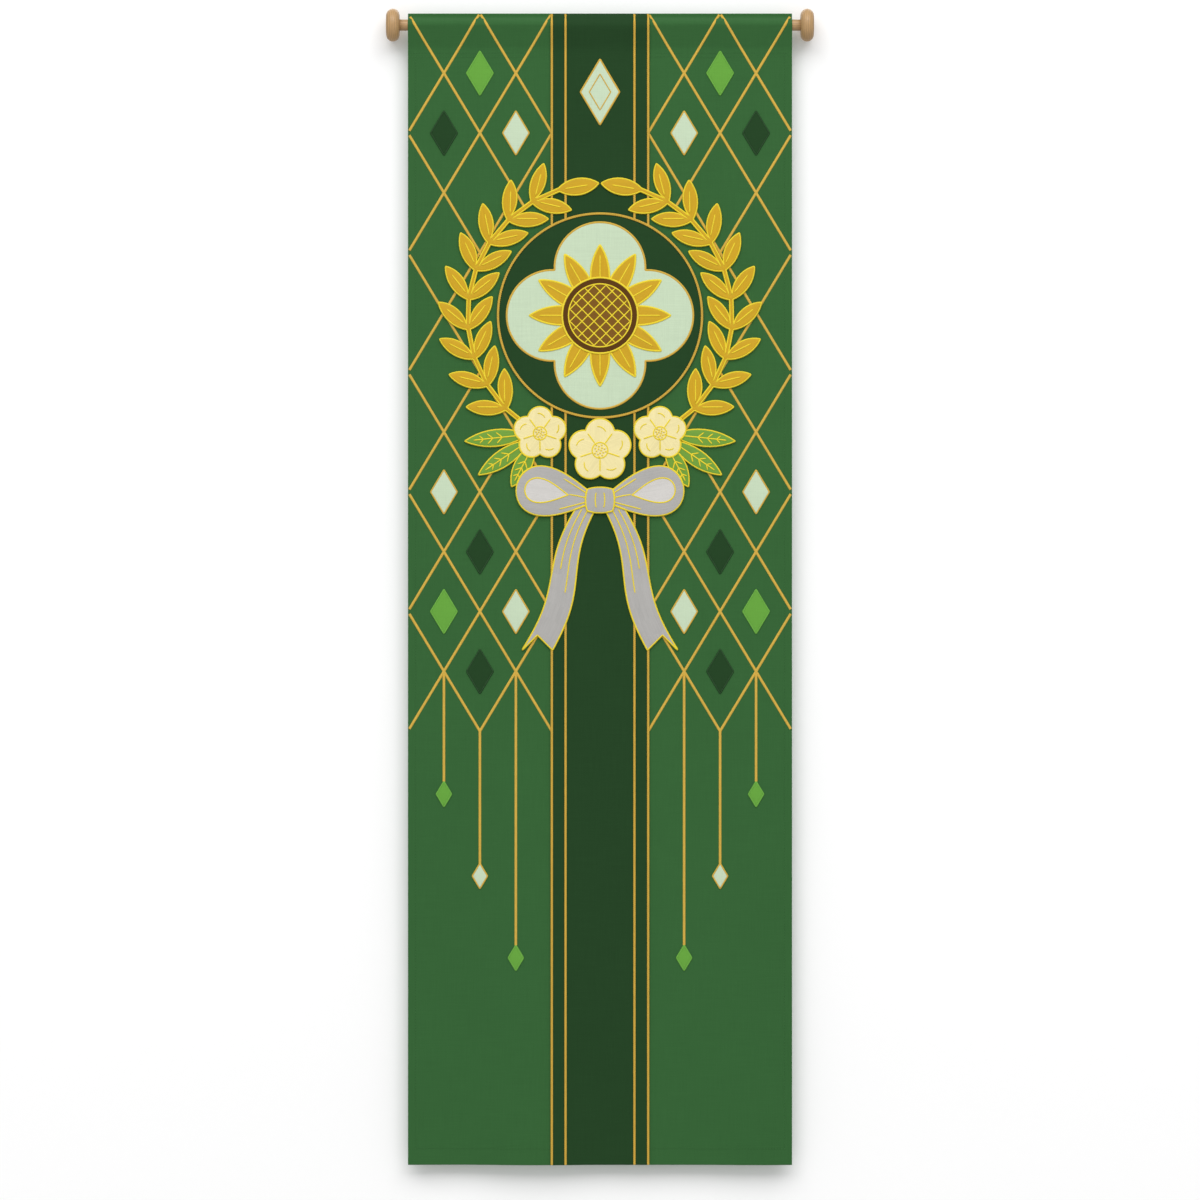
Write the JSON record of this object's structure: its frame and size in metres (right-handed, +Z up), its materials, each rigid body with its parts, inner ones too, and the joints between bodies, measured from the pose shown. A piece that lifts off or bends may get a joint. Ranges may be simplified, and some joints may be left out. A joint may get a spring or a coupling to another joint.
{
  "type": "cloth banner on a wooden rod",
  "caption": "Tall green cloth banner with a sewn-on wreath, flower and bow, hung by its top pocket from a round wooden rod with disc-shaped end caps.",
  "frame": {"origin": "the middle of the rod's axis", "axes": "+X along the rod, to the right as the front is seen; +Z up; -Y out of the banner's front"},
  "size_m": [0.679, 0.052, 1.8366],
  "materials": {
    "ground": "mid green woven polyester-cotton, matt",
    "dark": "dark green woven cloth, matt",
    "bright": "bright green woven cloth, matt",
    "mint": "pale mint woven cloth, matt",
    "leaf": "leaf green woven cloth, matt",
    "ochre": "ochre cloth with a soft sheen",
    "cream": "cream cloth with a soft sheen",
    "brown": "brown woven cloth, matt",
    "silver": "silver-grey satin",
    "gold": "dull gold braid",
    "wood": "light wood under a satin lacquer"
  },
  "bodies": {
    "root": {"banner_cloth": "ground", "rod": "wood", "cap_left": "wood", "cap_right": "wood", "centre_band": "dark", "braid_upper_1": "gold", "braid_upper_2": "gold", "braid_upper_3": "gold", "braid_upper_4": "gold", "braid_lower_1": "gold", "braid_lower_2": "gold", "braid_lower_3": "gold", "braid_lower_4": "gold", "round_panel": "dark", "disc_braid": "gold", "quatrefoil": "mint", "flower_petals": "ochre", "flower_heart": "brown", "wreath_left": "ochre", "wreath_right": "ochre", "leaf_left_1": "leaf", "leaf_left_2": "leaf", "leaf_left_3": "leaf", "leaf_right_1": "leaf", "leaf_right_2": "leaf", "leaf_right_3": "leaf", "rose_left": "cream", "rose_middle": "cream", "rose_right": "cream", "bow_loop_left": "silver", "bow_loop_right": "silver", "bow_tail_left": "silver", "bow_tail_right": "silver", "bow_knot": "silver", "top_lozenge": "mint", "lozenge_left_1": "bright", "lozenge_left_2": "mint", "lozenge_left_3": "dark", "lozenge_left_4": "mint", "lozenge_left_5": "dark", "lozenge_left_6": "mint", "lozenge_left_7": "bright", "lozenge_left_8": "dark", "pendant_left_1": "bright", "pendant_left_2": "mint", "pendant_left_3": "bright", "lozenge_right_1": "bright", "lozenge_right_2": "mint", "lozenge_right_3": "dark", "lozenge_right_4": "mint", "lozenge_right_5": "dark", "lozenge_right_6": "mint", "lozenge_right_7": "bright", "lozenge_right_8": "dark", "pendant_right_1": "bright", "pendant_right_2": "mint", "pendant_right_3": "bright"}
  },
  "joints": []
}
